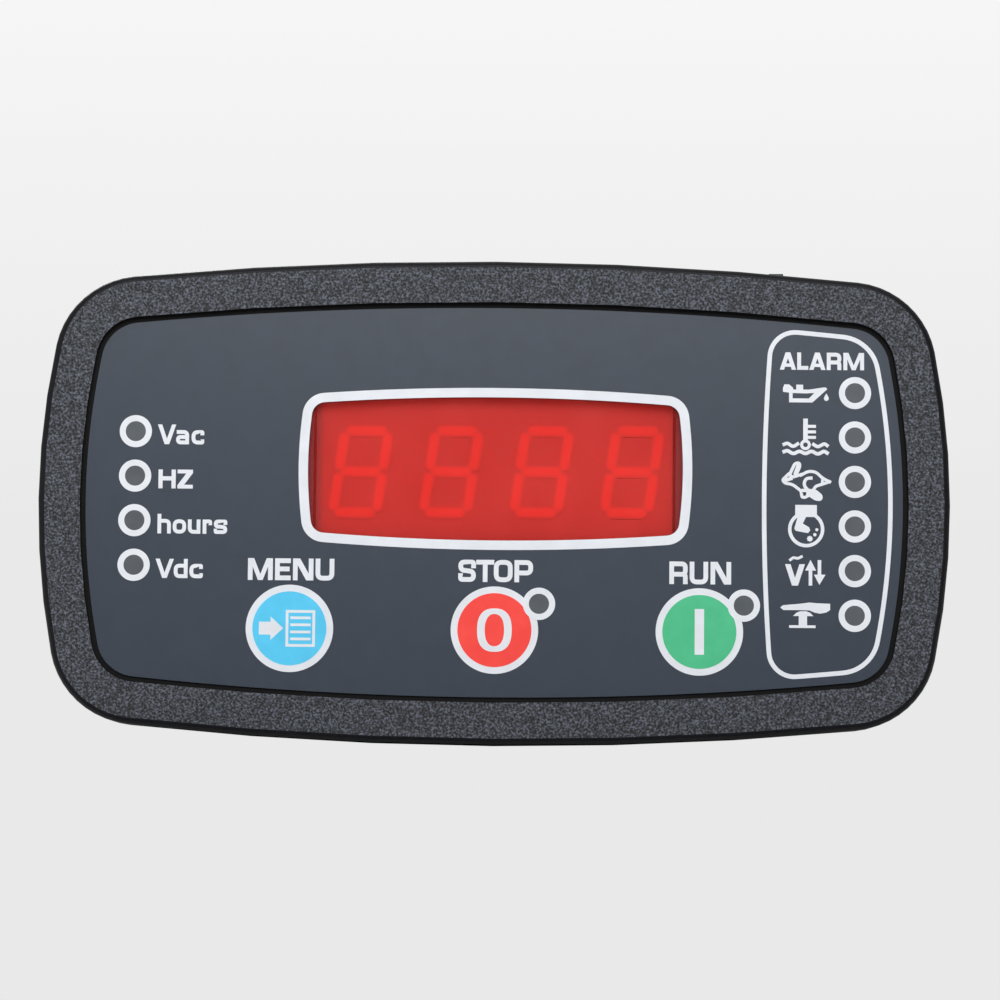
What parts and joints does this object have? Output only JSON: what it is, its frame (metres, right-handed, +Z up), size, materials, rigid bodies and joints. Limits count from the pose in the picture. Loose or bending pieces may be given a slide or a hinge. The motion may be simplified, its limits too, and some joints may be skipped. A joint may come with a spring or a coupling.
{
  "type": "genset controller",
  "caption": "Panel-mounted genset controller: cushion-shaped bezel, printed film with a red number display, lights and push buttons, and pull-off screw terminals behind.",
  "frame": {"origin": "centre of the bezel flange's rear face, in the plane of the panel it is fixed in", "axes": "+X to the right seen from the front, +Y from the front to the back, +Z up"},
  "size_m": [0.102, 0.0529, 0.0542],
  "materials": {
    "black_case": "moulded ABS with a coarse spark-eroded grain",
    "printed_film": "fine matt polycarbonate film, printed",
    "red_window": "clear red acrylic",
    "display_face": "smooth",
    "display_segments": "cast epoxy",
    "led_lens": "smoked clear",
    "key_plunger": "smooth",
    "dark_moulding": "moulded",
    "circuit_board": "solder mask on glass epoxy",
    "relay_case": "moulded",
    "capacitor_sleeve": "shrunk sleeve",
    "resistor_body": "fired",
    "varistor_coat": "dipped epoxy",
    "terminal_body": "moulded",
    "plated_steel": "zinc plated"
  },
  "bodies": {
    "controller": {"ac_socket": "terminal_body", "alarm_led_heat": "led_lens", "alarm_led_oil": "led_lens", "alarm_led_speed": "led_lens", "alarm_led_start": "led_lens", "alarm_led_stop_key": "led_lens", "alarm_led_voltage": "led_lens", "board_link": "dark_moulding", "board_screw_1": "plated_steel", "board_screw_2": "plated_steel", "board_screw_3": "plated_steel", "board_screw_4": "plated_steel", "charge_resistor": "resistor_body", "crystal": "plated_steel", "dc_socket": "terminal_body", "display_board": "circuit_board", "display_case": "display_face", "display_segments": "display_segments", "display_window": "red_window", "filter_capacitor": "capacitor_sleeve", "front_bezel": "black_case", "front_overlay": "printed_film", "fuel_relay": "relay_case", "main_board": "circuit_board", "menu_switch": "dark_moulding", "microcontroller": "dark_moulding", "mounting_spring": "plated_steel", "rear_housing": "black_case", "run_switch": "dark_moulding", "start_relay": "relay_case", "status_led_run": "led_lens", "status_led_stop": "led_lens", "stop_switch": "dark_moulding", "supply_capacitor": "capacitor_sleeve", "value_led_hertz": "led_lens", "value_led_hours": "led_lens", "value_led_volts_ac": "led_lens", "value_led_volts_dc": "led_lens", "varistor": "varistor_coat", "voltage_regulator": "dark_moulding"},
    "menu_key": {"menu_plunger": "key_plunger"},
    "stop_key": {"stop_plunger": "key_plunger"},
    "run_key": {"run_plunger": "key_plunger"},
    "dc_terminals": {"dc_plug": "terminal_body", "dc_clamp_screw_1": "plated_steel", "dc_clamp_screw_10": "plated_steel", "dc_clamp_screw_2": "plated_steel", "dc_clamp_screw_3": "plated_steel", "dc_clamp_screw_4": "plated_steel", "dc_clamp_screw_5": "plated_steel", "dc_clamp_screw_6": "plated_steel", "dc_clamp_screw_7": "plated_steel", "dc_clamp_screw_8": "plated_steel", "dc_clamp_screw_9": "plated_steel"},
    "ac_terminals": {"ac_plug": "terminal_body", "ac_clamp_screw_1": "plated_steel", "ac_clamp_screw_2": "plated_steel"}
  },
  "joints": [
    {"name": "menu_press", "type": "slide", "parent": "controller", "child": "menu_key", "axis": [0, 1, 0], "range_m": [0, 0.00025], "stiffness_N_per_m": 6000},
    {"name": "stop_press", "type": "slide", "parent": "controller", "child": "stop_key", "axis": [0, 1, 0], "range_m": [0, 0.00025], "stiffness_N_per_m": 6000},
    {"name": "run_press", "type": "slide", "parent": "controller", "child": "run_key", "axis": [0, 1, 0], "range_m": [0, 0.00025], "stiffness_N_per_m": 6000},
    {"name": "dc_plug_pull", "type": "slide", "parent": "controller", "child": "dc_terminals", "axis": [0, 1, 0], "range_m": [0, 0.0095]},
    {"name": "ac_plug_pull", "type": "slide", "parent": "controller", "child": "ac_terminals", "axis": [0, 1, 0], "range_m": [0, 0.0095]}
  ]
}
